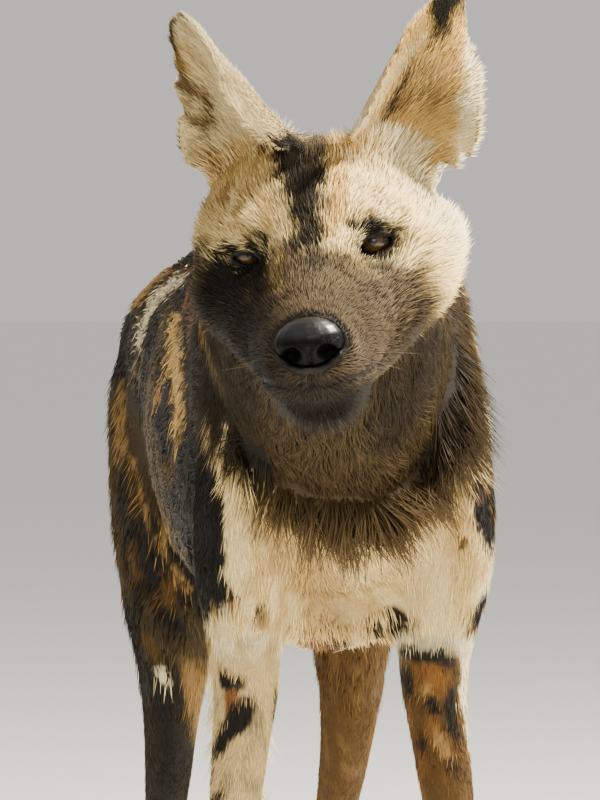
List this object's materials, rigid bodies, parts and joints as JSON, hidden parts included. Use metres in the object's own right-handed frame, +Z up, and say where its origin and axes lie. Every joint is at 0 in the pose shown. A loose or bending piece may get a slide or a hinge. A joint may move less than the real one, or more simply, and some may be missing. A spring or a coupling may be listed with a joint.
{
  "type": "african wild dog model",
  "caption": "Life-size still model of an African wild dog standing, head turned a little to its right, round ears up and bushy tail hanging.",
  "frame": {"origin": "on the floor under the middle of the animal's box", "axes": "+Z up, the nose points to -Y, and the dog's left side is +X"},
  "size_m": [0.2584, 1.1062, 0.7994],
  "materials": {
    "coat_head": "short dense cream and tan fur with a dark forehead stripe",
    "coat_muzzle": "very short grey-brown to black fur",
    "coat_bib": "long dark brown ruff with paler hair tips",
    "coat_body": "short fur blotched black, tan, orange and white",
    "coat_legs": "short fur, white with orange and black spots",
    "coat_tail": "long bushy hair, tan, then black, then white at the tip",
    "nose_leather": "fine-pebbled moist black skin",
    "eye": "glossy amber-brown iris with a round pupil",
    "claw": "dark horn, slightly worn"
  },
  "bodies": {
    "root": {"head": "coat_head", "lower_jaw": "coat_muzzle", "nose": "nose_leather", "eye_right": "eye", "eye_left": "eye", "ear_right": "coat_head", "ear_left": "coat_head", "neck": "coat_bib", "torso": "coat_body", "tail_base": "coat_body", "tail_brush": "coat_tail", "foreleg_right_upper": "coat_body", "foreleg_right_lower": "coat_legs", "foreleg_right_paw": "coat_legs", "foreleg_right_claw_1": "claw", "foreleg_right_claw_2": "claw", "foreleg_right_claw_3": "claw", "foreleg_right_claw_4": "claw", "foreleg_left_upper": "coat_body", "foreleg_left_lower": "coat_legs", "foreleg_left_paw": "coat_legs", "foreleg_left_claw_1": "claw", "foreleg_left_claw_2": "claw", "foreleg_left_claw_3": "claw", "foreleg_left_claw_4": "claw", "hindleg_right_upper": "coat_body", "hindleg_right_lower": "coat_legs", "hindleg_right_paw": "coat_legs", "hindleg_right_claw_1": "claw", "hindleg_right_claw_2": "claw", "hindleg_right_claw_3": "claw", "hindleg_right_claw_4": "claw", "hindleg_left_upper": "coat_body", "hindleg_left_lower": "coat_legs", "hindleg_left_paw": "coat_legs", "hindleg_left_claw_1": "claw", "hindleg_left_claw_2": "claw", "hindleg_left_claw_3": "claw", "hindleg_left_claw_4": "claw"}
  },
  "joints": []
}
